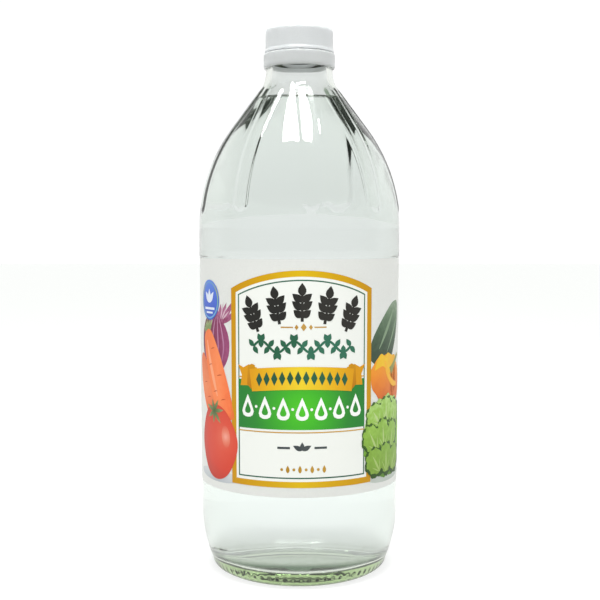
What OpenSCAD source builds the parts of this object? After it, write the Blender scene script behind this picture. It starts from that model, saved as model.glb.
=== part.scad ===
// One-litre class clear glass bottle of vinegar: fluted shoulder, wrap-round
// paper label, white screw cap with its tamper band. Millimetres, +Z up,
// origin at the middle of the foot. The front of the label faces -Y.

/* [Glass body] */
// Diameter of the plain ring above the label
body_d = 88; // [76:0.5:106]
// Depth of the label panel below that ring
panel_depth = 0.34; // [0.2:0.02:1]
// How much smaller the panel's radius is at its foot
panel_draft = 0.48; // [0:0.02:1.5]
// Height of the panel's upper end
panel_top = 137.2; // [110:0.5:165]
// Height of the plain ring, up to the shoulder
ring_h = 11.8; // [6:0.2:24]
// Thickness of the glass wall
wall = 2.6; // [2:0.1:3.4]

/* [Shoulder and neck] */
// Radius of the rounded shoulder
shoulder_r = 73.3; // [60:0.5:88]
// Lean of the straight part above it, from upright
shoulder_lean = 36.4; // [30:0.2:40]
// Radius of the hollow curve into the neck
flare_r = 16.85; // [12:0.25:20.5]
// Diameter of the neck
neck_d = 29.1; // [27:0.1:32]

/* [Heel and base] */
// Radius of the long heel curve
heel_r = 57.2; // [45:0.5:70]
// Lean of the heel where it meets the foot
heel_lean = 23.8; // [18:0.2:28]
// Radius of the foot's corner
foot_r = 5.83; // [4.8:0.05:7]
// Width of the ring the bottle stands on
foot_w = 2.6; // [1.5:0.1:4]
// Rise of the hollow under the base
kick_under = 3.6; // [2:0.1:4.4]
// Height of the inside floor at its edge
floor_z = 6.4; // [5.4:0.1:7.8]
// Rise of the inside floor at its middle
kick_inside = 2.4; // [1:0.1:3.5]
// Radius of the inside floor's corner
floor_corner = 8; // [6:0.25:10]

/* [Flutes] */
// Number of raised flutes round the shoulder
flutes = 9; // [6:1:12]
// Width of a flute
flute_w = 6; // [4:0.25:7.5]
// Height a flute stands proud
flute_h = 0.35; // [0.2:0.05:0.6]
// Height of the flutes' lower tips above the ring
flute_rise = 7.6; // [4:0.2:20]
// How far the flutes' upper tips stay below the neck
flute_stop = 8.6; // [6:0.2:14]
// Turn of the first flute from the front of the label
flute_turn = 6.5; // [0:0.5:20]

/* [Finish and cap] */
// Height of the neck's land under the finish
land_h = 2.6; // [1.5:0.1:4]
// How far the finish lies inside the neck's land
finish_step = 1.35; // [0.9:0.05:1.8]
// Height of the finish above the neck
finish_h = 16.9; // [15:0.1:20]
// How far the locking bead stands out
bead_out = 0.9; // [0.4:0.1:1.1]
// Gap between the finish and the cap or band
cap_clear = 0.35; // [0.2:0.05:0.5]
// Thickness of the cap's skirt
cap_wall = 1.2; // [1:0.05:1.6]
// Thickness of the cap's top
cap_top = 1.4; // [1:0.1:2]
// Height of the cap's skirt below the finish's rim
cap_skirt = 9.8; // [8:0.1:10.5]
// Radius of the cap's top edge
cap_round = 2.2; // [1:0.1:3]
// Height of the cap's lower lip
lip_h = 1.5; // [0.6:0.1:2]
// How far the lip stands out
lip_out = 0.45; // [0.3:0.05:0.6]
// Height of the slit between the cap and its band
slit = 0.4; // [0.3:0.05:0.8]
// Thickness of the tamper band
band_wall = 0.8; // [0.6:0.05:1.2]
// Gap between the tamper band and the neck
band_clear = 0.25; // [0.15:0.05:0.5]
// How far the band's lower edge lies above the start of the neck
band_lift = 0.4; // [0:0.1:1.5]
// Number of bridges that hold the band
bridges = 12; // [8:1:16]

/* [Label] */
// Thickness of the paper
paper = 0.15; // [0.1:0.01:0.3]
// Height of the label's lower edge
label_z = 39.7; // [34:0.1:60]
// Gap between the label and the ring above it
label_gap = 0.5; // [0.3:0.1:3]
// Width of the strip left bare at the back
label_bare = 10; // [4:0.5:40]

/* [Contents] */
// Depth of the fill line below the start of the neck
fill_below = 14.4; // [9:0.1:60]

/* [Hidden] */
$fn = 96;

body_r = body_d / 2;
neck_r = neck_d / 2;
ring_top = panel_top + ring_h;
panel_r1 = body_r - panel_depth;              // panel radius at its upper end
panel_r0 = panel_r1 - panel_draft;            // and at the heel
a = shoulder_lean;

// heel: a long curve of heel_r, then the foot's corner
heel_z = round((heel_r * sin(heel_lean) + foot_r * (1 - sin(heel_lean))) * 100) / 100;
heel_x = panel_r0 - heel_r;
foot_x = heel_x + (heel_r - foot_r) * cos(heel_lean);
foot_in = foot_x - foot_w;                    // inner edge of the standing ring

// shoulder: curve, straight lean, hollow curve into the neck
shoulder_x = body_r - shoulder_r;
lean_r1 = shoulder_x + shoulder_r * cos(a);
lean_z1 = ring_top + shoulder_r * sin(a);
lean_r2 = neck_r + flare_r * (1 - cos(a));
lean_z2 = lean_z1 + (lean_r1 - lean_r2) / tan(a);
neck_z = round((lean_z2 + flare_r * sin(a)) * 100) / 100;
fill_z = neck_z - fill_below;

rim_z = neck_z + finish_h;
bore_r = neck_r - wall;
finish_r = neck_r - finish_step;
bead_r = finish_r + bead_out;

cap_z0 = rim_z - cap_skirt;
cap_z1 = rim_z + cap_top;
cap_in = finish_r + cap_clear;
cap_r = cap_in + cap_wall;

band_z0 = neck_z + band_lift;
band_z1 = cap_z0 - slit;
band_in = neck_r + band_clear;
band_r = band_in + band_wall;

label_top = panel_top - label_gap;

lap = 3;       // how far joined sections run into each other
bite = 0.01;   // how far a curve reaches past the line it runs into

function panel_at(z) = panel_r0 + (panel_r1 - panel_r0) * (z - heel_z) / (panel_top - heel_z);

// Half section of a shallow dome, w wide and h high, that stands at height z
module dome2d(w, h, z) {
    r = (w * w + h * h) / (2 * h);
    polygon(concat([[0, z - 1], [w, z - 1]],
                   [for (i = [0 : 7]) let (x = w * (1 - i / 8)) [x, z + h - r + sqrt(r * r - x * x)]],
                   [[0, z + h - r + sqrt(r * r - w * w / 64)]]));
}

// Half section from the ring's top through the neck, o outside the glass
// surface; head lists the points above the neck, down to the axis
module shoulder2d(o, head) {
    r1 = shoulder_x + (shoulder_r + o - bite) * cos(a);
    z1 = ring_top + (shoulder_r + o - bite) * sin(a);
    r2 = neck_r + flare_r - (flare_r - o) * cos(a);
    z2 = neck_z - (flare_r - o) * sin(a);
    intersection() {
        translate([shoulder_x, ring_top]) circle(shoulder_r + o);
        translate([0, ring_top]) square([body_r + lap, z1 - ring_top + lap]);
    }
    difference() {
        polygon(concat([[0, z1 - lap], [r1 - lap, z1 - lap], [r1, z1], [r2, z2],
                        [neck_r + o, neck_z]], head));
        translate([neck_r + flare_r, neck_z]) circle(flare_r - o + bite);
    }
}

// Half section of the heel: a long curve of radius r that starts at height
// heel_z, and a corner of radius rc that leaves it at slope s (a sine)
module heel2d(r, rc, s, bottom) {
    c = sqrt(1 - s * s);
    x = heel_x + (r - rc) * c;
    z = bottom + rc * (1 - s);
    translate([0, bottom]) square([x, z - bottom + lap]);
    intersection() {
        translate([x + bite * c, bottom + rc - bite * s]) circle(rc);
        translate([0, bottom]) square([x + rc + lap, 2 * rc]);
    }
    intersection() {
        translate([heel_x, heel_z]) circle(r);
        translate([0, z]) square([panel_r0 + lap, heel_z - z + lap]);
    }
}

// Half section of the glass as if it were solid, with its locking bead,
// finish and rim
module outer2d() {
    z1 = neck_z + land_h;
    z2 = z1 + finish_step;
    difference() {
        union() {
            heel2d(heel_r, foot_r, sin(heel_lean), 0);
            polygon([[0, heel_z - lap], [panel_r0 - lap, heel_z - lap], [panel_r0 - bite, heel_z],
                     [panel_r1, panel_top], [body_r, panel_top + panel_depth], [body_r, ring_top],
                     [body_r - lap, ring_top + lap], [0, ring_top + lap]]);
            shoulder2d(0, [[neck_r, z1], [finish_r, z2],
                [finish_r, z2 + 0.4], [bead_r, z2 + 0.4 + bead_out / 2], [bead_r, z2 + 1.4],
                [finish_r, z2 + 1.4 + bead_out], [finish_r, rim_z - 0.6], [finish_r - 0.6, rim_z],
                [0, rim_z]]);
        }
        dome2d(foot_in, kick_under, 0);
    }
}

// Half section of the space inside
module cavity2d() {
    r = heel_r - wall;
    s = (heel_z - floor_z - floor_corner) / (r - floor_corner);
    flat_r = heel_x + (r - floor_corner) * sqrt(1 - s * s) - 1;
    difference() {
        union() {
            heel2d(r, floor_corner, s, floor_z);
            polygon([[0, heel_z - lap], [panel_r0 - wall - lap, heel_z - lap],
                     [panel_r0 - wall - bite, heel_z], [body_r - wall, ring_top],
                     [body_r - wall - lap, ring_top + lap], [0, ring_top + lap]]);
            shoulder2d(-wall, [[bore_r, rim_z + 1], [0, rim_z + 1]]);
        }
        dome2d(flat_r, kick_inside, floor_z);
    }
}

// One flute: a round-ended strip that stands out along +X
module flute_strip() {
    z0 = ring_top + flute_rise + flute_w / 2;
    z1 = neck_z - flute_stop - flute_w / 2;
    translate([bore_r - lap / 2, 0, 0]) rotate([90, 0, 90]) linear_extrude(body_r) union() {
        translate([-flute_w / 2, z0]) square([flute_w, z1 - z0]);
        translate([0, z0]) circle(flute_w / 2);
        translate([0, z1]) circle(flute_w / 2);
    }
}

module bottle() {
    color([0.85, 0.9, 0.87, 0.5]) difference() {
        union() {
            rotate_extrude() outer2d();
            intersection() {
                rotate_extrude() shoulder2d(flute_h, [[neck_r + flute_h, neck_z + 1], [0, neck_z + 1]]);
                for (i = [0 : flutes - 1])
                    rotate([0, 0, -90 + flute_turn + i * 360 / flutes]) flute_strip();
            }
        }
        rotate_extrude() cavity2d();
    }
}

module vinegar() {
    color([0.93, 0.96, 0.94, 0.6]) rotate_extrude() intersection() {
        cavity2d();
        square([body_r, fill_z]);
    }
}

module cap() {
    color([0.88, 0.9, 0.92]) rotate_extrude() difference() {
        union() {
            translate([0, cap_z0]) square([cap_r, cap_z1 - cap_round - cap_z0]);
            translate([0, cap_z1 - cap_round]) square([cap_r - cap_round, cap_round]);
            intersection() {
                translate([cap_r - cap_round, cap_z1 - cap_round]) circle(cap_round);
                translate([cap_r - cap_round, cap_z1 - cap_round]) square([cap_round, cap_round]);
            }
            polygon([[cap_in, cap_z0], [cap_r + lip_out, cap_z0],
                     [cap_r + lip_out, cap_z0 + lip_h / 2], [cap_r, cap_z0 + lip_h], [cap_in, cap_z0 + lip_h]]);
        }
        translate([0, cap_z0 - 1]) square([cap_in, rim_z - cap_z0 + 1]);
    }
}

module tamper_band() {
    bridge_r0 = max(band_in, cap_in);
    bridge_r1 = min(band_r, cap_r + lip_out);
    color([0.88, 0.9, 0.92]) union() {
        rotate_extrude()
            polygon([[band_in, band_z0], [band_r - 0.5, band_z0], [band_r, band_z0 + 1.1],
                     [band_r, band_z1 - 0.25], [band_r - 0.25, band_z1], [band_in, band_z1]]);
        for (i = [0 : bridges - 1])
            rotate([0, 0, i * 360 / bridges]) rotate_extrude(angle = 6)
                translate([bridge_r0, band_z1 - 0.2]) square([bridge_r1 - 0.05 - bridge_r0, slit + 0.2]);
    }
}

module label() {
    bare = label_bare / (2 * PI * panel_r0) * 360;
    color([0.95, 0.95, 0.92]) rotate([0, 0, 90 + bare / 2]) rotate_extrude(angle = 360 - bare)
        polygon([[panel_at(label_z), label_z], [panel_at(label_z) + paper, label_z],
                 [panel_at(label_top) + paper, label_top], [panel_at(label_top), label_top]]);
}

bottle();
vinegar();
cap();
tamper_band();
label();
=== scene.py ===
"""Looks for the vinegar bottle: glass, contents, cap, wrapped label and a plain studio."""
from math import asin, atan2, cos, degrees, exp, hypot, pi, radians, sin, sqrt
from types import SimpleNamespace

import bmesh
import bpy
from bpy.props import FloatProperty, FloatVectorProperty, IntProperty, PointerProperty
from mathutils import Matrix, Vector


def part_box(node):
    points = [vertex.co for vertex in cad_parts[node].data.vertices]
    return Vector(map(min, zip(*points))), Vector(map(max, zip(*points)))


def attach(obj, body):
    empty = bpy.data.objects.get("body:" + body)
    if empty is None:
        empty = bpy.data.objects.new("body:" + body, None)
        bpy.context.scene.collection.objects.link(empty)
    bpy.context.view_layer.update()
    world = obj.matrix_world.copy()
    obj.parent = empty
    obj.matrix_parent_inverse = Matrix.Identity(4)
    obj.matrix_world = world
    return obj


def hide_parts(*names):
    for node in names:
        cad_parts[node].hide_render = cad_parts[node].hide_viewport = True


bl_info = {
    "name": "Vinegar bottle",
    "version": (1, 0, 0),
    "blender": (4, 5, 0),
    "location": "View3D > Sidebar > Bottle",
    "description": "Builds a glass vinegar bottle with its cap, contents and printed label",
    "category": "Add Mesh",
}

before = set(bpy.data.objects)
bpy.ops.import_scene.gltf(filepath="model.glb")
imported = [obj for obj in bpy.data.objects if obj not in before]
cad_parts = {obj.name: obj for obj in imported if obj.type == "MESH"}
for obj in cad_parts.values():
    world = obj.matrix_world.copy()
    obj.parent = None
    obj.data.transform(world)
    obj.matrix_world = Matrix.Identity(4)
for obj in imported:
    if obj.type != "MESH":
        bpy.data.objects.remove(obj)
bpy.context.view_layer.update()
GLASS_LO, GLASS_HI = (v * 1000 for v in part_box("bottle"))
FILL_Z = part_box("vinegar")[1].z * 1000
CAP_LO, CAP_HI = (v * 1000 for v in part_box("cap"))
BAND_LO, BAND_HI = (v * 1000 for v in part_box("tamper_band"))
LABEL_LO, LABEL_HI = (v * 1000 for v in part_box("label"))

# millimetres
PRINT_R = 43.6       # radius at which the print is laid out flat
PAPER_OUT = 0.156    # the print's first sheet, out from the glass under the paper
INK_STEP = 0.02      # from one sheet of ink to the next
LAND_H = 2.6         # height of the neck's plain land under the finish
FINISH_STEP = 1.35   # how far the finish lies inside the land
BEAD_OUT = 0.9       # how far the finish's bead stands out
PUSH_UP = 3.6        # rise of the hollow under the foot
FLOOR_RISE = 2.4     # rise of the inside floor at its middle
FLOOR_CORNER = 8     # radius of the inside floor's corner
FOOT_RING = 2.6      # width of the ring the bottle stands on
OVERLAP = 0.12       # how far the vinegar reaches into the glass
SKIN_FALL = 1.9      # distance over which the vinegar's raised edge dies away

# corners of a block's six faces, its foot ring first
BLOCK = ((3, 2, 1, 0), (4, 5, 6, 7), (0, 1, 5, 4), (1, 2, 6, 5), (2, 3, 7, 6), (3, 0, 4, 7))


# -------------------------------- small tools

def linear(code):
    """An sRGB hex colour as linear RGBA."""
    rgb = [int(code[i:i + 2], 16) / 255 for i in (1, 3, 5)]
    return tuple(c / 12.92 if c <= 0.04045 else ((c + 0.055) / 1.055) ** 2.4 for c in rgb) + (1.0,)


def length(name, about, value):
    """A length property; value is in millimetres."""
    return FloatProperty(name=name, description=about, default=value / 1000, unit="LENGTH", precision=5)


def turn(name, about, value):
    """An angle property; value is in degrees."""
    return FloatProperty(name=name, description=about, default=radians(value), subtype="ANGLE")


def colour(name, about, code):
    """A colour property; code is sRGB hex."""
    return FloatVectorProperty(name=name, description=about, subtype="COLOR", size=4, min=0, max=1,
                               default=linear(code))


def sizes(group):
    """A group's values, with its lengths in millimetres and its angles in degrees."""
    out = SimpleNamespace()
    for name in group.__annotations__:
        value, kind = getattr(group, name), group.bl_rna.properties[name]
        if kind.type == "FLOAT" and kind.unit == "LENGTH":
            value = value * 1000
        elif kind.type == "FLOAT" and kind.subtype == "ANGLE":
            value = degrees(value)
        elif kind.type == "FLOAT" and kind.subtype == "COLOR":
            value = tuple(value)
        setattr(out, name, value)
    return out


# -------------------------------- properties

class GlassSizes(bpy.types.PropertyGroup):
    """Sizes and colours of the glass and what it holds"""
    body_r: length("Body radius", "Radius of the plain ring above the label", GLASS_HI.x)
    panel_r1: length("Panel radius", "Radius of the label panel at its upper end", GLASS_HI.x - 0.34)
    panel_r0: length("Panel foot radius", "Radius of the label panel at the heel", GLASS_HI.x - 0.82)
    panel_top: length("Panel top", "Height of the label panel's upper end", 137.2)
    ring_top: length("Shoulder start", "Height at which the shoulder starts", 149.0)
    wall: length("Wall", "Thickness of the glass wall", 2.6)
    shoulder_r: length("Shoulder curve", "Radius of the rounded shoulder", 73.3)
    lean: turn("Shoulder lean", "Lean of the straight part from upright", 36.4)
    flare_r: length("Neck curve", "Radius of the hollow curve into the neck", 16.85)
    neck_r: length("Neck radius", "Radius of the neck", 14.55)
    neck_z: length("Neck start", "Height at which the neck starts", GLASS_HI.z - 16.9)
    heel_r: length("Heel curve", "Radius of the long heel curve", 57.2)
    heel_lean: turn("Heel lean", "Lean of the heel at the foot from upright", 23.8)
    foot_r: length("Foot corner", "Radius of the foot's corner", 5.83)
    floor_z: length("Floor height", "Height of the inside floor at its edge", 6.4)
    flutes: IntProperty(name="Flutes", description="Number of raised flutes round the shoulder", default=9)
    flute_w: length("Flute width", "Width of a flute", 6.0)
    flute_h: length("Flute height", "Height a flute stands proud", 0.35)
    flute_turn: turn("Flute turn", "Turn of the first flute from the front", 6.5)
    flute_edge: length("Flute edge", "Width of the soft edge of a flute", 2.2)
    groove: length("Flute groove", "Depth of the groove at the foot of a flute", 0.14)
    ridges: IntProperty(name="Foot ridges", description="Number of small ridges round the foot", default=72)
    ridge_h: length("Ridge height", "Height of the small ridges", 0.16)
    meniscus: length("Meniscus", "How far the liquid climbs the wall", 2.1)
    tint: colour("Glass tint", "Tint of the glass seen face on", "#f3f4f6")
    depth: colour("Glass depth", "What is left of white light after a long path in the glass", "#bcd884")
    liquid: colour("Liquid", "Tint of the vinegar", "#fdfffe")


class ClosureSizes(bpy.types.PropertyGroup):
    """Sizes and colour of the cap and its tamper band"""
    top: length("Top", "Thickness of the cap's top", 1.4)
    wall: length("Skirt", "Thickness of the cap's skirt", 1.2)
    round_r: length("Edge", "Radius of the cap's top edge", 2.2)
    lip: length("Lip", "How far the cap's lip stands out", 0.45)
    lip_h: length("Lip height", "Height of the cap's lip", 1.5)
    slit: length("Slit", "Height of the slit above the tamper band", 0.4)
    bridges: IntProperty(name="Bridges", description="Number of bridges that hold the band", default=12)
    plastic: colour("Plastic", "Colour of the cap", "#e1e3ea")


class LabelSizes(bpy.types.PropertyGroup):
    """Layout and colours of the label's print"""
    bare: length("Bare strip", "Width of the bare glass between the label's ends", 10.0)
    centre: length("Print centre", "How far the print sits to the right of the front", 1.2)
    half_w: length("Panel half width", "Half width of the bordered panel", 31.5)
    spring: length("Arch spring", "Height at which the panel's arched top springs", 124.6)
    rise: length("Arch rise", "Rise of the arched top", 7.6)
    foot: length("Panel foot", "Height of the panel's lower edge", 43.8)
    border: length("Border width", "Width of the gold border", 2.5)
    line_in: length("Line inset", "Distance of the thin line from the panel's edge", 3.7)
    line_w: length("Line width", "Width of the thin line", 0.55)
    band_lo: length("Band foot", "Height of the green band's lower edge", 67.6)
    band_hi: length("Band top", "Height of the green band's upper edge", 87.6)
    paper: colour("Paper", "Colour of the paper", "#ebeae8")
    field: colour("Field", "Colour of the field inside the border", "#f2f2ef")
    # the border's gold is its own colour; the darker gold at the sides is painted shade where the label turns away from
    # the light
    gold: colour("Gold", "Colour of the border in the middle", "#dfb60c")
    gold_side: colour("Gold at the sides", "Colour of the border at the sides", "#cb9108")
    line: colour("Line", "Colour of the thin line", "#33604a")
    # the band's green is its own colour; the darker green at the sides is painted shade where the label turns away from
    # the light
    green: colour("Green", "Colour of the band in the middle", "#52c827")
    green_side: colour("Green at the sides", "Colour of the band at the sides", "#2f8733")


class StudioSizes(bpy.types.PropertyGroup):
    """Camera and lights"""
    camera_away: length("Camera distance", "Distance of the camera from the bottle's axis", 464.8)
    camera_up: length("Camera height", "Height of the camera", 144.2)
    camera_right: length("Camera offset", "How far the camera stands to the right", 0.3)
    camera_tilt: turn("Camera tilt", "How far the camera looks down", 3.243)
    lens: FloatProperty(name="Lens", description="Focal length", default=63.0, unit="CAMERA")
    overhead: FloatProperty(name="Overhead light", description="Power of the overhead softbox", default=10.5,
                            unit="POWER")
    back: colour("Backdrop", "Colour of the light tent behind the bottle", "#ffffff")
    front: colour("Front", "Colour of the light tent in front", "#979d93")
    ceiling: colour("Ceiling", "Colour of the tent's ceiling", "#93a093")


GROUPS = {"vb_glass": GlassSizes, "vb_closure": ClosureSizes, "vb_label": LabelSizes, "vb_studio": StudioSizes}


# -------------------------------- nodes and meshes

def add(tree, kind, links=None, stops=(), **settings):
    """Adds a shader node, sets its properties and unlinked inputs, links the rest, and fills
    a colour ramp from stops, each a place and a colour. A linked node gives its first output."""
    node = tree.nodes.new("ShaderNode" + kind)
    for key, value in settings.items():
        if hasattr(node, key):
            setattr(node, key, value)
        else:
            node.inputs[key.replace("_", " ")].default_value = value
    for key, value in (links or {}).items():
        if isinstance(value, bpy.types.Node):
            value = value.outputs[0]
        if isinstance(value, bpy.types.NodeSocket):
            tree.links.new(value, node.inputs[key])
        else:
            node.inputs[key].default_value = value
    for i, (place, code) in enumerate(stops):
        element = node.color_ramp.elements[i] if i < 2 else node.color_ramp.elements.new(place)
        element.position = place
        element.color = linear(code) if isinstance(code, str) else code
    return node


def material(name):
    """An empty node material, its tree and its output."""
    mat = bpy.data.materials.new(name)
    mat.use_nodes = True
    mat.node_tree.nodes.clear()
    return mat, mat.node_tree, mat.node_tree.nodes.new("ShaderNodeOutputMaterial")


def piece(name, verts, faces, mat, replaced=()):
    """A mesh object from millimetre points that rides on the body."""
    mesh = bpy.data.meshes.new(name)
    mesh.from_pydata([(x / 1000, y / 1000, z / 1000) for x, y, z in verts], [], faces)
    mesh.materials.append(mat)
    mesh.validate()
    mesh.polygons.foreach_set("use_smooth", [True] * len(mesh.polygons))
    mesh.set_sharp_from_angle(angle=radians(38))
    obj = bpy.data.objects.new(name, mesh)
    bpy.context.scene.collection.objects.link(obj)
    if replaced:
        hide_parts(*replaced)
    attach(obj, "root")
    return obj


def turned(profile, columns, push=None, closed=True):
    """Points and faces of a turned shape. The profile runs from axis to axis, or round a
    ring; push(r, z, angle, row) says how far a point stands out along the normal."""
    verts, faces, rows = [], [], []
    last = len(profile) - 1
    for i, (r, z) in enumerate(profile):
        a, b = profile[max(i - 1, 0)], profile[min(i + 1, last)]
        dr, dz = b[0] - a[0], b[1] - a[1]
        span = hypot(dr, dz) or 1.0
        if r < 1e-6:
            rows.append([len(verts)] * columns)
            verts.append((0, 0, z))
            continue
        row = []
        for k in range(columns):
            t = 2 * pi * k / columns
            h = push(r, z, t, i) if push else 0.0
            out = r + dz / span * h
            row.append(len(verts))
            verts.append((out * cos(t), out * sin(t), z - dr / span * h))
        rows.append(row)
    for lower, upper in list(zip(rows, rows[1:])) + ([] if closed else [(rows[-1], rows[0])]):
        for k in range(columns):
            j = (k + 1) % columns
            quad = [lower[k], lower[j], upper[j], upper[k]]
            face = [v for i, v in enumerate(quad) if v not in quad[:i]]
            if len(face) > 2:
                faces.append(face)
    return verts, faces


def arc(cx, cz, r, start, end, n):
    """Points along an arc, its angles in degrees from +X."""
    return [(cx + r * cos(radians(start + (end - start) * i / n)),
             cz + r * sin(radians(start + (end - start) * i / n))) for i in range(n + 1)]


def line(a, b, n):
    """n + 1 points from a to b."""
    return [(a[0] + (b[0] - a[0]) * i / n, a[1] + (b[1] - a[1]) * i / n) for i in range(n + 1)]


def soft(x):
    """A soft step from 0 to 1."""
    x = min(max(x, 0.0), 1.0)
    return x * x * (3 - 2 * x)


# -------------------------------- the bottle's section

def heel_start(g):
    """Height at which the heel curve meets the label panel."""
    s = sin(radians(g.heel_lean))
    return g.heel_r * s + g.foot_r * (1 - s)


def panel_r(g, z):
    """Radius of the label panel at height z."""
    z0 = heel_start(g)
    return g.panel_r0 + (g.panel_r1 - g.panel_r0) * (z - z0) / (g.panel_top - z0)


def body_section(g, off):
    """Section from the panel's foot to the neck, off outside the glass, foot first."""
    heel_z = heel_start(g)
    if off < 0:
        low = line((g.panel_r0 + off, heel_z), (g.body_r + off, g.ring_top), 12)[:-1]
    else:
        low = line((g.panel_r0, heel_z), (g.panel_r1, g.panel_top), 10)
        low += [(g.panel_r1 + 0.04, g.panel_top + 0.08), (g.body_r - 0.06, g.panel_top + 0.34)]
        low += line((g.body_r, g.panel_top + 0.55), (g.body_r, g.ring_top), 5)[:-1]
    curve = arc(g.body_r - g.shoulder_r, g.ring_top, g.shoulder_r + off, 0, g.lean, 64)
    hollow = arc(g.neck_r + g.flare_r, g.neck_z, g.flare_r - off, 180 + g.lean, 180, 20)
    return low + curve + line(curve[-1], hollow[0], 22)[1:-1] + hollow


def heel_section(g, r, rc, bottom):
    """Section of the heel from its flat bottom to the panel's foot."""
    x, z = g.panel_r0 - g.heel_r, heel_start(g)
    lean = degrees(asin((z - bottom - rc) / (r - rc)))
    cx = x + (r - rc) * cos(radians(lean))
    return arc(cx, bottom + rc, rc, -90, -lean, 16) + arc(x, z, r, -lean, 0, 26)[1:-1]


def dome(w, h, z, n=14):
    """Section of a shallow dome from the axis to its edge."""
    r = (w * w + h * h) / (2 * h)
    return [(w * i / n, z + h - r + sqrt(r * r - (w * i / n) ** 2)) for i in range(n + 1)]


def cavity_section(g, grow):
    """Section of the space inside, from the floor's middle up to the neck."""
    floor = g.floor_z - grow
    corner = heel_section(g, g.heel_r - g.wall + grow, FLOOR_CORNER + grow, floor)
    return dome(corner[0][0] - 1, FLOOR_RISE, floor) + corner + body_section(g, -g.wall + grow)


# -------------------------------- materials

def flint_glass(g):
    """Flint container glass, blown and fire polished: nearly clear face on, while long
    paths at its edges and in its base turn olive green with the iron in it."""
    mat, tree, out = material("Glass_Flint_FirePolished")
    place = add(tree, "TexCoord")
    # slow waves of the mould and the cooling, about 14 mm long
    waves = add(tree, "TexNoise", {"Vector": place.outputs["Object"]}, Scale=70.0, Detail=1.0)
    bump = add(tree, "Bump", {"Height": waves}, Strength=0.08, Distance=0.001)
    # where the wall is wet inside, only its outer skin mirrors the lights
    wet = add(tree, "Attribute", attribute_name="wet")
    mirror = add(tree, "Mix", {0: wet.outputs["Fac"], 6: linear("#ffffff"), 7: linear("#3a3a3a")}, data_type="RGBA")
    skin = add(tree, "BsdfPrincipled", {"Normal": bump, "Specular Tint": mirror.outputs[2]},
               IOR=1.5, Roughness=0.0, Transmission_Weight=1.0, Base_Color=g.tint)
    depth = add(tree, "VolumeAbsorption", Color=g.depth, Density=22.0)
    tree.links.new(skin.outputs[0], out.inputs["Surface"])
    tree.links.new(depth.outputs[0], out.inputs["Volume"])
    return mat


def still_vinegar(g):
    """White vinegar, at rest: water clear, it bends light like water and makes a lens of
    the bottle, and only its level top mirrors."""
    mat, tree, out = material("Vinegar_White_Still")
    place = add(tree, "NewGeometry")
    rise = add(tree, "SeparateXYZ", {0: place.outputs["Position"]})
    low, high = (FILL_Z - 3) / 1000, (FILL_Z - 1) / 1000
    level = add(tree, "MapRange", {"Value": rise.outputs["Z"], "From Min": low, "From Max": high})
    mirror = add(tree, "Mix", {0: level, 6: linear("#3a3a3a"), 7: linear("#ffffff")}, data_type="RGBA")
    skin = add(tree, "BsdfPrincipled", {"Specular Tint": mirror.outputs[2]}, IOR=1.333, Roughness=0.0,
               Transmission_Weight=1.0, Base_Color=g.liquid)
    tree.links.new(skin.outputs[0], out.inputs["Surface"])
    return mat


def moulded_plastic(c):
    """Polypropylene, injection moulded: cool white, a soft sheen, a fine mould grain, and
    thin enough for light to come through the skirt."""
    mat, tree, out = material("Polypropylene_White_Moulded")
    place = add(tree, "TexCoord")
    # grain of the mould, 0.2 mm, drawn at 0.4 mm so that it shows
    grain = add(tree, "TexNoise", {"Vector": place.outputs["Object"]}, Scale=2500.0, Detail=2.0)
    bump = add(tree, "Bump", {"Height": grain}, Strength=0.05, Distance=0.0004)
    dull = tuple(v * 0.96 for v in c.plastic[:3]) + (1.0,)
    tone = add(tree, "ValToRGB", {0: grain}, stops=((0.3, dull), (0.7, c.plastic)))
    skin = add(tree, "BsdfPrincipled", {"Base Color": tone, "Normal": bump},
               IOR=1.49, Roughness=0.38, Subsurface_Weight=1.0, Subsurface_Radius=(1, 1, 1), Subsurface_Scale=0.005)
    tree.links.new(skin.outputs[0], out.inputs["Surface"])
    return mat


def label_paper(p):
    """Coated label paper, varnished: warm white with a low sheen and a fine tooth, and thin
    enough for daylight to show through to its back."""
    mat, tree, out = material("Paper_Coated_Varnished")
    place = add(tree, "TexCoord")
    # tooth of the paper, 0.2 mm, drawn at 0.5 mm so that it shows
    tooth = add(tree, "TexNoise", {"Vector": place.outputs["Object"]}, Scale=2000.0, Detail=3.0)
    dull = tuple(v * 0.95 for v in p.paper[:3]) + (1.0,)
    tone = add(tree, "ValToRGB", {0: tooth}, stops=((0.3, dull), (0.7, p.paper)))
    bump = add(tree, "Bump", {"Height": tooth}, Strength=0.06, Distance=0.0003)
    skin = add(tree, "BsdfPrincipled", {"Base Color": tone, "Normal": bump},
               IOR=1.45, Roughness=0.5, Subsurface_Weight=0.7, Subsurface_Radius=(1, 1, 1), Subsurface_Scale=0.0004)
    tree.links.new(skin.outputs[0], out.inputs["Surface"])
    return mat


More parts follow.
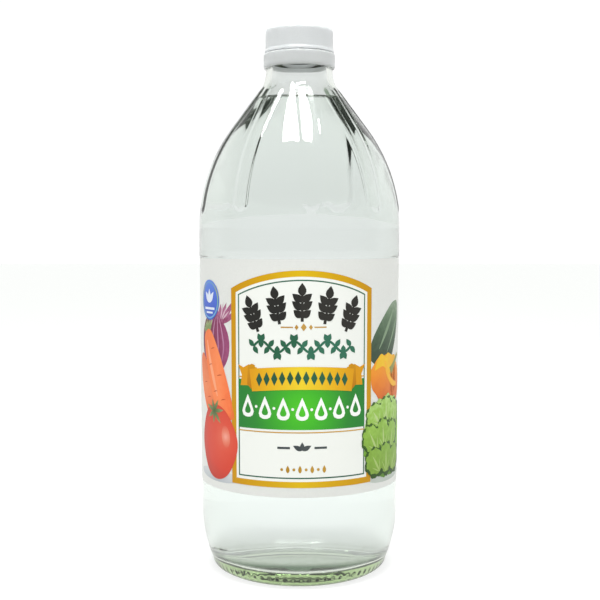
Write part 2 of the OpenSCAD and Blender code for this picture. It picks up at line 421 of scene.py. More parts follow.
def ink(name, *stops, x=(0, 1), z=None, centre=None, mottle=0.0, grain=4.0):
    """Offset ink under varnish: a smooth field that runs between its stops from one x or z
    to another, or out from a centre (u, z, reach), in millimetres, with a mottle grain mm
    across. A stop is a place and a colour; colours alone are spread evenly."""
    mat, tree, out = material(name + "_Ink_Offset")
    stops = [s if len(s) == 2 else (i / (len(stops) - 1), s) for i, s in enumerate(stops)]
    place = add(tree, "TexCoord")
    low, high = z or x
    if centre:
        u, up, high = centre
        a, r = u / PRINT_R, PRINT_R + 0.1
        spot = (r * sin(a) / 1000, -r * cos(a) / 1000, up / 1000)
        value = add(tree, "VectorMath", {0: place.outputs["Object"], 1: spot}, operation="DISTANCE").outputs["Value"]
    else:
        value = add(tree, "SeparateXYZ", {0: place.outputs["Object"]}).outputs["Z" if z else "X"]
    reach = {"Value": value, "From Min": low / 1000, "From Max": high / 1000}
    factor = add(tree, "MapRange", reach)
    if mottle:
        spots = add(tree, "TexNoise", {"Vector": place.outputs["Object"]}, Scale=1000 / grain, Detail=3.0)
        spread = add(tree, "Math", {0: spots, 1: 0.5}, operation="SUBTRACT")
        factor = add(tree, "Math", {0: spread, 1: 2 * mottle, 2: factor}, operation="MULTIPLY_ADD")
    tone = add(tree, "ValToRGB", {0: factor}, stops=stops)
    skin = add(tree, "BsdfPrincipled", {"Base Color": tone}, IOR=1.45, Roughness=0.45, Specular_IOR_Level=0.25)
    tree.links.new(skin.outputs[0], out.inputs["Surface"])
    return mat


# -------------------------------- label print

def printed(name, shapes, mat, layer, step=1.2):
    """Flat shapes laid round the paper. Each is a list of (u, z): u is millimetres to the
    right of the front, z is millimetres up. layer counts the sheets of ink over the paper."""
    g = sizes(bpy.context.scene.vb_glass)
    bm = bmesh.new()
    for shape in shapes:
        bm.faces.new([bm.verts.new((u, z, 0)) for u, z in shape])
    bmesh.ops.triangulate(bm, faces=bm.faces[:])
    low = min(v.co.x for v in bm.verts)
    high = max(v.co.x for v in bm.verts)
    for k in range(1, int((high - low) / step) + 1):
        bmesh.ops.bisect_plane(bm, geom=bm.verts[:] + bm.edges[:] + bm.faces[:], dist=1e-5,
                               plane_co=(low + k * step, 0, 0), plane_no=(1, 0, 0))
    verts, faces = [], []
    for v in bm.verts:
        v.index = len(verts)
        r = panel_r(g, v.co.y) + PAPER_OUT + INK_STEP * layer
        verts.append((r * sin(v.co.x / PRINT_R), -r * cos(v.co.x / PRINT_R), v.co.y))
    for f in bm.faces:
        f.normal_update()
        faces.append([v.index for v in (f.verts if f.normal.z > 0 else reversed(f.verts))])
    bm.free()
    return piece("print_" + name, verts, faces, mat)


def spin(points, u, z, angle):
    """Points turned by an angle in degrees and moved to (u, z)."""
    c, s = cos(radians(angle)), sin(radians(angle))
    return [(u + x * c - y * s, z + x * s + y * c) for x, y in points]


def oval(u, z, a, b, angle=0.0, n=40):
    """An oval, a and b its half sizes."""
    return spin([(a * cos(2 * pi * i / n), b * sin(2 * pi * i / n)) for i in range(n)], u, z, angle)


def ruffled(u, z, a, b, lobes, deep, angle=0.0, n=110):
    """An oval with a wavy edge, as a leaf or head of salad has."""
    out = []
    for i in range(n):
        t = 2 * pi * i / n
        k = 1 + deep * sin(lobes * t) + 0.5 * deep * sin((2 * lobes + 3) * t + 1)
        out.append((a * k * cos(t), b * k * sin(t)))
    return spin(out, u, z, angle)


def leaf(u, z, long, wide, angle, n=8):
    """A pointed leaf that starts at (u, z)."""
    edge = [(long * i / n, wide / 2 * sin(pi * (i / n) ** 0.8)) for i in range(n + 1)]
    return spin(edge + [(x, -y) for x, y in reversed(edge[1:-1])], u, z, angle)


def sprig(u, z, lean):
    """A stem at (u, z) with a leaf at its tip and three pairs of leaves."""
    out = strip(spin([(0, -1.6), (0, 10.2)], u, z, lean), [0.62, 0.42])
    out.append(leaf(*spin([(0, 8.6)], u, z, lean)[0], 5.4, 3.4, 90 + lean))
    for up, long in ((6.3, 5.2), (3.2, 5.4), (0.1, 4.6)):
        root = spin([(0, up)], u, z, lean)[0]
        out += [leaf(*root, long, 3.1, 90 + lean - 50 * side) for side in (-1, 1)]
    return out


def lozenge(u, z, a, b):
    """A lozenge, a and b its half sizes."""
    return [(u + a, z), (u, z + b), (u - a, z), (u, z - b)]


def bar(u, z, a, b):
    """An upright rectangle, a and b its half sizes."""
    return [(u - a, z - b), (u + a, z - b), (u + a, z + b), (u - a, z + b)]


def strip(path, widths):
    """Quads of a flat strip along a path; widths are its half widths."""
    left, right = [], []
    for i, (u, z) in enumerate(path):
        a, b = path[max(i - 1, 0)], path[min(i + 1, len(path) - 1)]
        du, dz = b[0] - a[0], b[1] - a[1]
        span = hypot(du, dz) or 1.0
        w = widths[i] if isinstance(widths, list) else widths
        left.append((u - dz / span * w, z + du / span * w))
        right.append((u + dz / span * w, z - du / span * w))
    return [[left[i], left[i + 1], right[i + 1], right[i]] for i in range(len(path) - 1)]


def bend(points, n=8):
    """A smooth path through some points."""
    out = []
    for i in range(len(points) - 1):
        p0, p1, p2, p3 = (points[min(max(i + k, 0), len(points) - 1)] for k in (-1, 0, 1, 2))
        for j in range(n):
            t = j / n
            out.append(tuple(0.5 * (2 * b + (c - a) * t + (2 * a - 5 * b + 4 * c - d) * t * t
                                    + (3 * b - a - 3 * c + d) * t ** 3) for a, b, c, d in zip(p0, p1, p2, p3)))
    return out + [tuple(points[-1])]


def tapered(points):
    """Quads of a strip through (u, z, half width) points."""
    path = bend(points)
    return strip([p[:2] for p in path], [max(p[2], 0.05) for p in path])


def panel_outline(p, inset, n=28):
    """Outline of the arched panel, inset by some millimetres, from its lower left."""
    w, foot = p.half_w - inset, p.foot + inset
    r = (p.half_w ** 2 + p.rise ** 2) / (2 * p.rise)
    mid = p.spring + p.rise - r
    r -= inset
    a = degrees(asin(w / r))
    crown = arc(p.centre, mid, r, 90 - a, 90 + a, n)
    corners = [(p.centre - w, foot), (p.centre + w, foot)]
    return line(corners[0], corners[1], n)[:-1] + line(corners[1], crown[0], n)[:-1] + crown[:-1] \
        + line(crown[-1], corners[0], n)[:-1]


def rim(outer, inner):
    """Quads between two outlines of as many points."""
    n = len(outer)
    return [[outer[i], outer[(i + 1) % n], inner[(i + 1) % n], inner[i]] for i in range(n)]


# -------------------------------- operators

class VB_OT_glass(bpy.types.Operator):
    """Build the glass: outside, fluted shoulder, finish and the space inside"""
    bl_idname = "vb.glass"
    bl_label = "Glass bottle"

    def execute(self, context):
        g = sizes(context.scene.vb_glass)
        foot = heel_section(g, g.heel_r, g.foot_r, 0)
        outside = dome(foot[0][0] - FOOT_RING, PUSH_UP, 0) + foot + body_section(g, 0)
        z1 = g.neck_z + LAND_H
        z2 = z1 + FINISH_STEP
        fr, rim_z, bore = g.neck_r - FINISH_STEP, GLASS_HI.z, g.neck_r - g.wall
        finish = [(g.neck_r, z1 - 0.1), (g.neck_r - 0.12, z1), (fr, z2), (fr, z2 + 0.4),
                  (fr + BEAD_OUT, z2 + 0.85), (fr + BEAD_OUT, z2 + 1.4), (fr, z2 + 2.3)]
        finish += line((fr, z2 + 2.4), (fr, rim_z - 0.8), 3) + arc(fr - 0.7, rim_z - 0.7, 0.7, 0, 90, 4)
        inside = line((bore, rim_z - 1), (bore, g.neck_z + 0.5), 6) + list(reversed(cavity_section(g, 0)))
        profile = outside + finish + [(bore + 0.5, rim_z), (bore, rim_z - 0.5)] + inside
        middles = [radians(-90 + g.flute_turn + 360 / g.flutes * i) for i in range(g.flutes)]
        z_lo, z_hi = g.ring_top + 7.6, g.neck_z - 8.6
        half = g.flute_w / 2

        def push(r, z, t, row):
            if row >= len(outside):
                return 0.0
            if 1.2 < z < 4.8 and row > 14:
                tooth = max(0.0, sin(g.ridges * t))
                return g.ridge_h * tooth * soft((z - 1.2) / 0.8) * soft((4.8 - z) / 0.8)
            if not z_lo - 2 < z < z_hi + 2:
                return 0.0
            side = min(abs((t - m + pi) % (2 * pi) - pi) for m in middles) * r
            tip = max(z_lo + half - z, z - z_hi + half, 0.0)
            out = hypot(side, tip) - half
            groove = g.groove * max(0.0, 1 - abs(out - 1.3) / 1.5) if z_lo < z < z_hi else 0.0
            return g.flute_h * soft(0.5 - out / g.flute_edge) - groove

        verts, faces = turned(profile, 576, push)
        obj = piece("glass_bottle", verts, faces, flint_glass(g), ["bottle"])
        wet = obj.data.attributes.new("wet", "FLOAT", "POINT")
        mouth = next(i for i, (x, y, z) in enumerate(verts)
                     if abs(z - rim_z + 1) < 0.01 and abs(hypot(x, y) - bore) < 0.01)
        wet.data.foreach_set("value", [1.0 if i > mouth and v[2] < FILL_Z else 0.0 for i, v in enumerate(verts)])
        return {"FINISHED"}


class VB_OT_vinegar(bpy.types.Operator):
    """Fill the bottle to its fill line; the sides reach just into the glass"""
    bl_idname = "vb.vinegar"
    bl_label = "Vinegar"

    def execute(self, context):
        g = sizes(context.scene.vb_glass)
        # the skin climbs the wall, and the level part lies lower by as much
        contact, level = FILL_Z + 0.9, FILL_Z + 0.9 - g.meniscus
        full = cavity_section(g, OVERLAP)
        wet = [q for q in full if q[1] < contact]
        above = full[len(wet)]
        share = (contact - wet[-1][1]) / (above[1] - wet[-1][1])
        edge = wet[-1][0] + (above[0] - wet[-1][0]) * share
        inward = (0, 0.12, 0.28, 0.5, 0.8, 1.2, 1.7, 2.4, 3.3, 4.5, 6.0, 8.0, 11.0)
        skin = [(edge - d, level + g.meniscus * exp(-d / SKIN_FALL)) for d in inward]
        verts, faces = turned(wet + skin + [(0, level)], 288)
        piece("vinegar_fill", verts, faces, still_vinegar(g), ["vinegar"])
        return {"FINISHED"}


class VB_OT_closure(bpy.types.Operator):
    """Build the screw cap and the tamper band under it"""
    bl_idname = "vb.closure"
    bl_label = "Cap and tamper band"

    def execute(self, context):
        c = sizes(context.scene.vb_closure)
        mat = moulded_plastic(c)
        z0, z1, lip = CAP_LO.z, CAP_HI.z, CAP_HI.x
        r, under = lip - c.lip, z1 - c.top
        inner = r - c.wall
        shell = [(0, under), (inner - 0.6, under), (inner, under - 0.6), (inner, z0 + 0.3), (inner + 0.3, z0),
                 (lip - 0.25, z0), (lip - 0.05, z0 + 0.12), (lip, z0 + 0.35), (lip, z0 + c.lip_h * 0.45),
                 (lip - 0.06, z0 + c.lip_h * 0.6), (r + 0.1, z0 + c.lip_h - 0.1), (r + 0.01, z0 + c.lip_h + 0.1)]
        shell += line((r, z0 + c.lip_h + 0.5), (r - 0.1, z1 - c.round_r - 0.1), 4)
        shell += arc(r - c.round_r - 0.1, z1 - c.round_r, c.round_r, 0, 90, 12) + [(r * 0.5, z1), (0, z1)]
        verts, faces = turned(shell, 192)
        piece("screw_cap", verts, faces, mat, ["cap"])

        b0, b1, br = BAND_LO.z, z0 - c.slit, BAND_HI.x
        inner = br - 0.8
        ring = [(inner, b0 + 0.3), (inner + 0.15, b0), (br - 0.5, b0), (br - 0.28, b0 + 0.3), (br - 0.1, b0 + 0.75),
                (br, b0 + 1.3)]
        ring += line((br, b0 + 2), (br - 0.04, b1 - 0.7), 3) + [(br - 0.09, b1 - 0.2), (br - 0.28, b1), (inner, b1)]
        verts, faces = turned(ring, 192, closed=False)
        for k in range(c.bridges):
            a0 = 2 * pi * k / c.bridges
            base = len(verts)
            for z in (b1 - 0.1, z0 + 0.05):
                for q, t in ((br - 0.75, a0), (br - 0.5, a0), (br - 0.5, a0 + 0.1), (br - 0.75, a0 + 0.1)):
                    verts.append((q * cos(t), q * sin(t), z))
            faces += [[base + i for i in f] for f in BLOCK]
        piece("tamper_ring", verts, faces, mat, ["tamper_band"])
        return {"FINISHED"}


class VB_OT_paper(bpy.types.Operator):
    """Wrap the label paper round its panel, with the bare strip at the back"""
    bl_idname = "vb.paper"
    bl_label = "Label paper"

    def execute(self, context):
        g, p = sizes(context.scene.vb_glass), sizes(context.scene.vb_label)
        half = pi - p.bare / (2 * g.panel_r1)
        columns, tall = 240, 13
        wide = columns + 1
        verts, faces = [], []
        for depth in (0.15, -0.02):
            for i in range(tall):
                z = LABEL_LO.z + (LABEL_HI.z - LABEL_LO.z) * i / (tall - 1)
                for k in range(wide):
                    t = half * (2 * k / columns - 1)
                    r = panel_r(g, z) + depth
                    verts.append((r * sin(t), -r * cos(t), z))
        back = wide * tall
        for i in range(tall - 1):
            for k in range(columns):
                q = [i * wide + k, i * wide + k + 1, (i + 1) * wide + k + 1, (i + 1) * wide + k]
                faces += [q, [v + back for v in reversed(q)]]
            a, b = i * wide, (i + 1) * wide
            faces += [[a, b, b + back, a + back], [b + columns, a + columns, a + columns + back, b + columns + back]]
        top = (tall - 1) * wide
        for k in range(columns):
            faces += [[k + 1, k, k + back, k + 1 + back], [top + k, top + k + 1, top + k + 1 + back, top + k + back]]
        piece("label_sheet", verts, faces, label_paper(p), ["label"])
        return {"FINISHED"}


class VB_OT_border(bpy.types.Operator):
    """Print the arched panel: white field, gold border and thin green line"""
    bl_idname = "vb.border"
    bl_label = "Label border"

    def execute(self, context):
        p = sizes(context.scene.vb_label)
        field = ink("Field", p.field, p.field)
        # the border's own gold, darkening towards both sides as painted shade where the label turns away from the light
        gold = ink("Gold", p.gold_side, (0.28, "#d5a309"), (0.5, p.gold), (0.72, "#d5a309"), p.gold_side, x=(-28, 30))
        green = ink("DarkGreen", p.line, "#3a6852", z=(44, 130))
        printed("panel_field", [panel_outline(p, 0.1)], field, 2)
        printed("gold_border", rim(panel_outline(p, 0), panel_outline(p, p.border)), gold, 3)
        printed("green_line", rim(panel_outline(p, p.line_in), panel_outline(p, p.line_in + p.line_w)), green, 3)
        return {"FINISHED"}


class VB_OT_band(bpy.types.Operator):
    """Print the green band with its row of drops, and the ribbon over it"""
    bl_idname = "vb.band"
    bl_label = "Green band and ribbon"

    def execute(self, context):
        p = sizes(context.scene.vb_label)
        c = p.centre
        w = p.half_w - p.line_in - 0.2
        # the band's own green, darkening out from its middle as painted shade where the label turns away from the light
        green = ink("Green", p.green, (0.3, "#43b32a"), (0.75, p.green_side), "#2b8036", centre=(c, 76, 27))
        gold = ink("GoldLine", "#c6902a", "#cf9c33", x=(-28, 30))
        foot = line((c - w, p.band_lo), (c + w, p.band_lo), 8)
        printed("green_band", [foot + [(c + w, p.band_hi), (c - w, p.band_hi)]], green, 4)
        printed("gold_rules", [bar(c, z, w, 0.22) for z in (p.band_lo - 1.15, p.band_hi + 0.95)], gold, 4)
        drops = []
        for i in range(7):
            u = c + 7.7 * (i - 3)
            tall = 4.7
            z = 76.9 - 0.09 * (9 - (i - 3) ** 2)
            side = [(0, 1.0), (0.22, 0.5), (0.5, -0.2), (0.58, -0.52), (0.47, -0.84), (0.22, -0.98)]
            full = [(x * tall, y * tall) for x, y in side] + [(0, -tall)]
            full += [(-x * tall, y * tall) for x, y in reversed(side[1:])]
            drops += rim(spin(full, u, z, 0), spin([(x * 0.5, y * 0.5 - 0.8) for x, y in full], u, z, 0))
            drops += [oval(u + 3.85, z - 0.2, 0.6, 0.6, n=14)] if i < 6 else []
        printed("white_drops", drops, ink("White", "#f4f5f2", "#fafbf8"), 6)

        # the ribbon's own yellow, darkening towards both ends and the tails as painted shade where the label turns away
        # from the light
        ribbon = ink("Yellow", "#dd9812", (0.2, "#e9b11a"), (0.5, "#f0d02e"), (0.8, "#e9b11a"), "#dd9812",
                     x=(-21, 23))
        fold = ink("Amber", "#b97409", "#cf8f12", z=(83, 93))
        half = 22.3

        def sag(x):
            return 1.4 * (1 - (x / half) ** 2)

        top = [(c + x, 91.9 + sag(x)) for x in [half - 2 * half * i / 24 for i in range(25)]]
        low = [(c + x, 82.6 + sag(x)) for x in [-half + 1.2 + 2 * (half - 1.2) * i / 24 for i in range(25)]]
        tails, folds = [], []
        for side in (-1, 1):
            edge = [(half - 3.5, 85.4), (26.6, 85.0), (26.0, 89.3), (27.9, 93.6), (25.2, 92.4), (22.6, 93.8),
                    (half - 3.5, 92.6)]
            tails.append([(c + side * x, z) for x, z in edge])
            edge = [(half - 0.9, 83.6), (half + 1.1, 85.6), (half + 0.7, 93.2), (half - 1.2, 94.1), (half - 2.6, 93.5)]
            folds.append([(c + side * x, z) for x, z in edge])
        printed("ribbon_tails", tails, ribbon, 5)
        printed("ribbon_folds", folds, fold, 6)
        printed("ribbon", [low + top], ribbon, 7)
        marks = []
        for i in range(12):
            x = 3.25 * (i - 5.5)
            marks.append(lozenge(c + x, 87.3 + sag(x), 1.35, 2.9))
        printed("ribbon_marks", marks, ink("BottleGreen", "#27573f", "#2c6045"), 8)
        return {"FINISHED"}


class VB_OT_ornaments(bpy.types.Operator):
    """Print the plain ornaments of the panel: leaf sprigs, vine and short rules"""
    bl_idname = "vb.ornaments"
    bl_label = "Panel ornaments"

    def execute(self, context):
        p = sizes(context.scene.vb_label)
        c = p.centre
        sprigs = []
        for i in range(5):
            x = 9.4 * (i - 2)
            sprigs += sprig(c + x, 113.2 - 0.0125 * x * x, -1.05 * x)
        printed("leaf_sprigs", sprigs, ink("Black", "#262523", "#302e2b"), 5)
        small = [lozenge(c + 0.6, 109.3, 1.2, 1.6)]
        for side in (-1, 1):
            small += [lozenge(c + 0.6 + side * 2.9, 109.3, 0.8, 1.1), bar(c + 0.6 + side * 6.8, 109.3, 2.5, 0.26)]
        printed("gold_lozenges", small, ink("Ochre", "#b98b3c", "#c2964a"), 4)
        wave = [(c - 20.4 + 41.0 * i / 120, 101.3 + 2.3 * sin(2 * pi * i / 40)) for i in range(121)]
        vine = strip(wave, 0.5)
        for i in range(7):
            u, z = wave[20 * i]
            vine += [leaf(u, z, 3.6, 2.1, angle) for angle in ((55, -125) if i % 2 else (-55, 125))]
        for i in range(6):
            u, z = wave[10 + 20 * i]
            up = -90 if i % 2 else 90
            vine += [leaf(u, z, long, 2.2, up + turned_by) for long, turned_by in ((3.3, 24), (3.3, -24), (2.8, 180))]
        printed("green_vine", vine, ink("VineGreen", "#2a6147", "#356f58"), 5)
        plain = [leaf(c, 59.2, 4.2, 2.0, angle) for angle in (28, 152)] + [leaf(c, 59.2, 3.4, 1.8, 90)]
        plain += [bar(c + 7.6 * side, 60.2, 2.6, 0.45) for side in (-1, 1)]
        printed("grey_leaves", plain, ink("Grey", "#40464a", "#4a5052"), 4)
        beads = []
        for i in range(8):
            u = c - 8.4 + 2.5 * i
            beads += [leaf(u, 49.8, 3.2, 1.5, 90)] if i % 2 else [oval(u, 51.3, 0.6, 0.6, n=14)]
        printed("gold_beads", beads, ink("OldGold", "#b48726", "#bf9238"), 4)
        return {"FINISHED"}


class VB_OT_left_vegetables(bpy.types.Operator):
    """Print the vegetables left of the panel, and the plain oval badge over them"""
    bl_idname = "vb.left_vegetables"
    bl_label = "Onion, carrots and tomato"

    def execute(self, context):
        shade = ink("Shadow", "#b9bdc6", "#dfe0e0", z=(42, 49))
        printed("left_shade", [oval(-41, 45.3, 15.5, 2.6)], shade, 0)
        plum = ink("Plum", "#6b2747", (0.45, "#8c3a62"), (0.8, "#a65683"), "#7d3258", x=(-41, -24),
                   mottle=0.25, grain=2.2)
        printed("red_onion", [oval(-42.5, 101.0, 11.0, 12.6, 8)], plum, 0)
        streaks = []
        for k in (-0.75, -0.4, 0.0, 0.4, 0.75):
            streaks += tapered([(-40.5 + 3 * k, 112.5, 0.1), (-42.5 + 8.5 * k, 106, 0.35), (-43 + 10.5 * k, 99, 0.4),
                                (-43.5 + 8 * k, 91, 0.1)])
        printed("onion_streaks", streaks, ink("Mauve", "#a9648f", "#c58db0", z=(92, 112)), 1)
        wine = ink("Wine", "#8a3a60", "#b06a8e", "#8f4468", z=(109, 121), mottle=0.6, grain=1.5)
        shoots = [leaf(-38.5 + 0.5 * i, 109.5, 7.0 + 1.6 * i, 2.4, 98 - 17 * i) for i in range(5)]
        printed("onion_shoots", shoots + [leaf(-36.5, 110, 12.5, 1.8, 52)], wine, 1)
        pale = [leaf(-37.0 + 0.7 * i, 111.5, 7.6 - i, 0.8, 74 - 16 * i) for i in range(3)]
        printed("onion_fibres", pale, ink("Blush", "#d6b3c4", "#e3c9d5"), 2)
        fern = ink("Fern", "#5f7442", "#87995f", "#a9b386", z=(103, 112), mottle=0.7, grain=1.5)
        printed("carrot_tops", [leaf(-47.6, 103.5, 9.5 - 0.7 * i, 1.9, 62 + 15 * i) for i in range(6)], fern, 2)
        rear = ink("CarrotRear", "#e8743f", "#f58a56", "#ec6b3e", z=(94, 70), mottle=0.25, grain=2.5)
        front = ink("CarrotFront", "#f57a3c", (0.45, "#ff8f58"), (0.7, "#fb7f4a"), "#ea6038", x=(-40, -26),
                    mottle=0.18, grain=3.0)
        path = [(-55.5, 95.5, 1.2), (-54, 93, 3.6), (-50, 85, 5.6), (-45, 77, 6.0), (-41, 71, 5.0)]
        printed("rear_carrot", tapered(path), rear, 2)
        path = [(-48.6, 106.2, 1.6), (-47.6, 104, 4.2), (-44.5, 97, 5.8), (-40.5, 88, 6.2), (-36.5, 78, 5.8),
                (-33.5, 69, 5.0)]
        printed("front_carrot", tapered(path), front, 3)
        shine = tapered([(-48.2, 102, 0.3), (-46, 95, 0.9), (-42.5, 86, 1.0), (-39.5, 79, 0.3)])
        printed("carrot_shine", shine, ink("Peach", "#ffa980", "#ffb592"), 4)
        rings = []
        for u, z, w in ((-43.0, 99, 1.6), (-45.0, 92, 1.5), (-38.0, 88, 1.9), (-41.0, 81, 1.6), (-35.5, 78, 1.5),
                        (-50.0, 84, 1.6), (-46.5, 78, 1.6)):
            rings += tapered([(u - w, z - 0.5, 0.05), (u, z, 0.22), (u + w, z + 0.2, 0.05)])
        printed("carrot_rings", rings, ink("Rust", "#cf5228", "#d95c30"), 5)
        red = ink("Tomato", "#e66a54", (0.3, "#e05440"), (0.62, "#d94735"), "#b93a30", centre=(-35.5, 62, 21),
                  mottle=0.06)
        body = [(x * (1 + 0.03 * cos(4 * atan2(y, x))), y) for x, y in oval(0, 0, 12.9, 15.8, 0, 64)]
        printed("tomato", [spin(body, -40.4, 59.6, 3)], red, 6)
        glow = ink("Salmon", "#f4a696", (0.55, "#ea8069"), "#e1614c", centre=(-34.0, 62.5, 4.6))
        printed("tomato_shine", [oval(-34.0, 62.5, 2.6, 4.6, 8, 30)], glow, 7)
        calyx = ink("Calyx", "#4b6137", (0.6, "#7d8f5a"), "#a3ac7e", centre=(-41.9, 72.6, 7))
        star = [leaf(-41.9, 72.5, 6.6 - 0.7 * (i % 3), 1.7, 8 + 51 * i) for i in range(7)]
        printed("calyx", star + [oval(-41.9, 72.5, 1.5, 1.3, n=16)], calyx, 8)
        blue = ink("Blue", "#3f5cc4", (0.6, "#4f6fd6"), "#6288e0", z=(111, 127))
        ring = ink("BadgeRing", "#6fa6e0", (0.5, "#7fb39f"), (0.75, "#a9b45e"), "#5d92dd", z=(111, 127))
        u, z = -45.6, 119.2
        printed("badge", [oval(u, z, 7.9, 8.5, n=56)], blue, 6)
        printed("badge_ring", rim(oval(u, z, 7.3, 7.9, n=56), oval(u, z, 6.6, 7.2, n=56)), ring, 7)
        mark = [leaf(u, z - 1.2, 6.0, 2.5, a) for a in (52, 90, 128)]
        mark += [bar(u, z - 3.6, 4.4, 0.5), bar(u, z - 5.3, 2.9, 0.4)]
        printed("badge_sprig", mark, ink("PaleBlue", "#e3e8f8", "#f3f5fb"), 8)
        return {"FINISHED"}


class VB_OT_right_vegetables(bpy.types.Operator):
    """Print the vegetables right of the panel"""
    bl_idname = "vb.right_vegetables"
    bl_label = "Cucumber, peppers and lettuce"

    def execute(self, context):
        shade = ink("ShadowRight", "#bcc3bc", "#dadddb", z=(42, 48))
        printed("right_shade", [oval(46, 44.2, 14.5, 2.0)], shade, 0)
        skin = ink("Cucumber", "#3e4f3f", (0.45, "#50664f"), (0.8, "#6c8468"), "#8a9c84", z=(97, 118), mottle=0.3,
                   grain=2.0)
        path = [(36, 92, 6.6), (41, 99, 8.6), (47, 107, 8.0), (52.5, 114, 5.6), (56, 118, 1.2)]
        printed("cucumber", tapered(path), skin, 0)
        gleam = tapered([(38, 99, 0.2), (44.5, 107.5, 0.9), (50.5, 115, 0.3)])
        gleam += tapered([(44, 97, 0.1), (51, 106, 0.6), (55.5, 112, 0.1)])
        printed("cucumber_gleam", gleam, ink("Sage", "#6f8a69", "#879d80"), 1)
        amber = ink("Pepper", "#f6a02c", "#ee8a2e", "#d96a2c", z=(94, 78), mottle=0.2, grain=3.5)
        printed("orange_pepper", [ruffled(44.0, 86.5, 11.6, 10.2, 3, 0.04)] + [oval(53.5, 84.0, 6.4, 8.5, 6)], amber, 2)
        sun = ink("PepperTop", "#eeb022", "#f6c62f", "#f0a828", x=(28, 43), mottle=0.3, grain=3.0)
        top = [(35.0, 90.0), (36.5, 94.3), (39.5, 96.8), (42.5, 95.6), (45.0, 96.9), (49.0, 95.6), (52.5, 95.4),
               (55.0, 92.8), (52.0, 90.0), (47.5, 88.5), (45.2, 86.5), (43.6, 89.6), (41.0, 91.5), (38.0, 91.0)]
        printed("pepper_top", [bend(top + top[:1], 5)[:-1]], sun, 3)
        curl = tapered([(42.6, 93.5, 0.5), (44.2, 89.5, 1.1), (46.5, 86.2, 1.2), (50.5, 83.4, 1.3), (55.5, 82.6, 0.8)])
        printed("pepper_curl", curl, ink("PepperRim", "#f7cb3c", "#f9b833"), 4)
        stalk = tapered([(47.5, 88.8, 1.8), (50.5, 90.6, 1.4), (53.5, 93.0, 1.0), (57.0, 95.4, 0.9)])
        printed("pepper_stalk", stalk, ink("Stalk", "#7c7a3c", "#9a9a58", x=(30, 42)), 5)
        head = ink("Lettuce", "#5f8c30", (0.35, "#7fae3f"), (0.7, "#9cc85a"), "#b6d67c", z=(46, 80), mottle=0.35,
                   grain=3.2)
        printed("lettuce_head", [ruffled(45.0, 61.6, 16.6, 17.4, 13, 0.035)], head, 6)
        gaps = ink("LeafGap", "#34521d", "#476b28", z=(46, 76))
        bright = ink("LeafBright", "#7fa03c", (0.45, "#8cb447"), (0.75, "#9cc457"), "#b9d983", z=(44, 80),
                     mottle=0.5, grain=2.4)
        rib = ink("LeafRib", "#a5c068", "#c3d896", z=(46, 78))
        rows = (((35.6, 71.0, 5.6, 5.4, 38), (43.6, 73.2, 5.6, 5.2, 0), (52.0, 70.6, 6.2, 6.0, -30)),
                ((33.6, 61.6, 5.4, 6.2, 30), (41.2, 63.2, 5.0, 6.4, 6), (49.4, 61.4, 5.6, 6.6, -14)),
                ((35.4, 52.0, 5.6, 5.8, 34), (43.6, 52.6, 5.4, 6.4, 0), (52.0, 51.6, 5.6, 6.0, -30)))
        for i, row in enumerate(rows):
            shadows, leaves, ribs = [], [], []
            for u, z, a, b, angle in row:
                shadows.append(ruffled(u + 0.3, z - 0.6, a + 0.7, b + 0.9, 7, 0.06, angle, 60))
                leaves.append(ruffled(u, z, a - 0.4, b - 0.3, 9, 0.07, angle, 70))
                foot = spin([(0, -b)], u, z, angle)[0]
                ribs += [leaf(*foot, 1.5 * b, 1.1, 90 + angle, 5), leaf(*foot, b, 0.5, 122 + angle, 5),
                         leaf(*foot, b, 0.5, 58 + angle, 5)]
            printed(f"lettuce_shadows_{i + 1}", shadows, gaps, 7 + 3 * i)
            printed(f"lettuce_leaves_{i + 1}", leaves, bright, 8 + 3 * i)
            printed(f"lettuce_ribs_{i + 1}", ribs, rib, 9 + 3 * i)
        return {"FINISHED"}


class VB_OT_side_panels(bpy.types.Operator):
    """Print the two plain panels towards the back: a thin frame, a band and fine rules"""
    bl_idname = "vb.side_panels"
    bl_label = "Side panels"

    def execute(self, context):
        p = sizes(context.scene.vb_label)
        frames, bands, rules = [], [], []
        for u in (-98, 98):
            frames += rim(bar(u, 90, 25, 38), bar(u, 90, 24.3, 37.3))
            bands.append(bar(u, 120, 22, 5))
            rules += [bar(u, 62 + 6 * i, 21, 0.2) for i in range(9)]
        # the frames and bands take the darker side gold and green, whose darkening is painted shade
        printed("side_frames", frames, ink("SideGold", p.gold_side, p.gold_side), 2)
        printed("side_bands", bands, ink("SideGreen", p.green_side, p.green_side), 2)
        printed("side_rules", rules, ink("SideGrey", "#8b8f92", "#8b8f92"), 2)
        return {"FINISHED"}


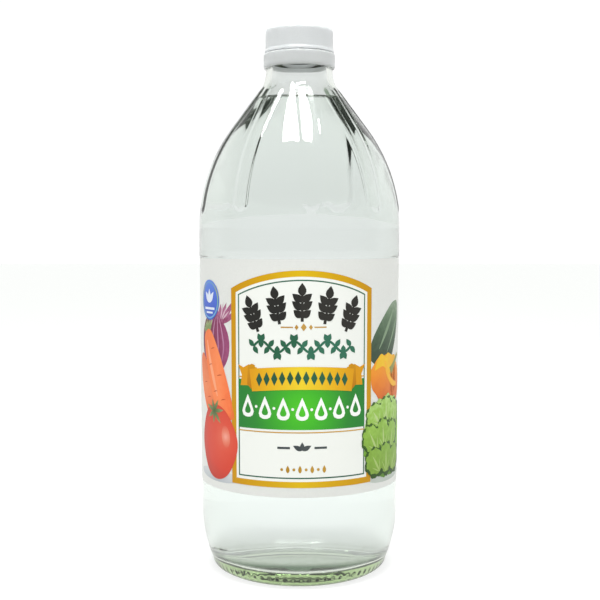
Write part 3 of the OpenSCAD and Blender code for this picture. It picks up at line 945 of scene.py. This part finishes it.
class VB_OT_studio(bpy.types.Operator):
    """Set the light table, the tent of soft light, the softbox and the camera"""
    bl_idname = "vb.studio"
    bl_label = "Studio"

    def execute(self, context):
        s = sizes(context.scene.vb_studio)
        scene = context.scene
        mesh = bpy.data.meshes.new("floor")
        mesh.from_pydata([(-6, -6, 0), (6, -6, 0), (6, 6, 0), (-6, 6, 0)], [], [(0, 1, 2, 3)])
        mat, tree, out = material("Acrylic_Opal_LightTable")
        sheet = add(tree, "BsdfPrincipled", Base_Color=linear("#9a9a9a"), Roughness=0.9,
                    Specular_IOR_Level=0.1, Emission_Color=linear("#ffffff"), Emission_Strength=0.82)
        tree.links.new(sheet.outputs[0], out.inputs["Surface"])
        mesh.materials.append(mat)
        floor = bpy.data.objects.new("floor", mesh)
        scene.collection.objects.link(floor)

        world = bpy.data.worlds.new("light_tent")
        scene.world = world
        world.use_nodes = True
        tree = world.node_tree
        tree.nodes.clear()
        place = add(tree, "TexCoord")
        way = add(tree, "SeparateXYZ", {0: place.outputs["Generated"]})
        # bright behind, dimmer at the sides and in front, with a dull ceiling from 24 degrees up
        behind = add(tree, "MapRange", {"Value": way.outputs["Y"], "From Min": -0.1, "From Max": 0.3})
        rise = add(tree, "MapRange", {"Value": way.outputs["Z"], "From Min": 0.40, "From Max": 0.60})
        walls = add(tree, "Mix", {0: behind, 6: s.front, 7: s.back}, data_type="RGBA")
        tent = add(tree, "Mix", {0: rise, 6: walls.outputs[2], 7: s.ceiling}, data_type="RGBA")
        sky = add(tree, "Background", {"Color": tent.outputs[2]}, Strength=1.04)
        end = tree.nodes.new("ShaderNodeOutputWorld")
        tree.links.new(sky.outputs[0], end.inputs["Surface"])

        lamp = bpy.data.lights.new("overhead_softbox", "AREA")
        lamp.shape, lamp.size, lamp.size_y, lamp.energy = "RECTANGLE", 0.44, 0.29, s.overhead
        box = bpy.data.objects.new("overhead_softbox", lamp)
        box.location = (-0.02, -0.263, 0.98)
        box.rotation_euler = (Vector((0, -0.03, 0.195)) - box.location).to_track_quat("-Z", "Y").to_euler()
        scene.collection.objects.link(box)

        cam = bpy.data.cameras.new("camera")
        cam.lens, cam.sensor_width, cam.clip_start = s.lens, 36.0, 0.01
        eye = bpy.data.objects.new("camera", cam)
        eye.location = (s.camera_right / 1000, -s.camera_away / 1000, s.camera_up / 1000)
        eye.rotation_euler = (radians(90 - s.camera_tilt), 0, 0)
        scene.collection.objects.link(eye)
        scene.camera = eye
        scene.view_settings.view_transform = "Standard"
        return {"FINISHED"}


class VB_PT_steps(bpy.types.Panel):
    """The steps of the bottle in order, and its sizes"""
    bl_idname = "VB_PT_steps"
    bl_label = "Vinegar bottle"
    bl_space_type = "VIEW_3D"
    bl_region_type = "UI"
    bl_category = "Bottle"

    def draw(self, context):
        for step in STEPS:
            self.layout.operator(step.bl_idname)
        for key, group in GROUPS.items():
            box = self.layout.box()
            for name in group.__annotations__:
                box.prop(getattr(context.scene, key), name)


STEPS = (VB_OT_glass, VB_OT_vinegar, VB_OT_closure, VB_OT_paper, VB_OT_border, VB_OT_band,
         VB_OT_ornaments, VB_OT_left_vegetables, VB_OT_right_vegetables, VB_OT_side_panels, VB_OT_studio)
CLASSES = (*GROUPS.values(), *STEPS, VB_PT_steps)


def register():
    """Registers the classes and puts the sizes on the scene."""
    for cls in CLASSES:
        bpy.utils.register_class(cls)
    for key, group in GROUPS.items():
        setattr(bpy.types.Scene, key, PointerProperty(type=group))


def unregister():
    """Takes the sizes and the classes away again."""
    for key in GROUPS:
        delattr(bpy.types.Scene, key)
    for cls in reversed(CLASSES):
        bpy.utils.unregister_class(cls)


def main():
    register()
    bpy.ops.vb.glass()
    bpy.ops.vb.vinegar()
    bpy.ops.vb.closure()
    bpy.ops.vb.paper()
    bpy.ops.vb.border()
    bpy.ops.vb.band()
    bpy.ops.vb.ornaments()
    bpy.ops.vb.left_vegetables()
    bpy.ops.vb.right_vegetables()
    bpy.ops.vb.side_panels()
    bpy.ops.vb.studio()


if __name__ == "__main__":
    main()
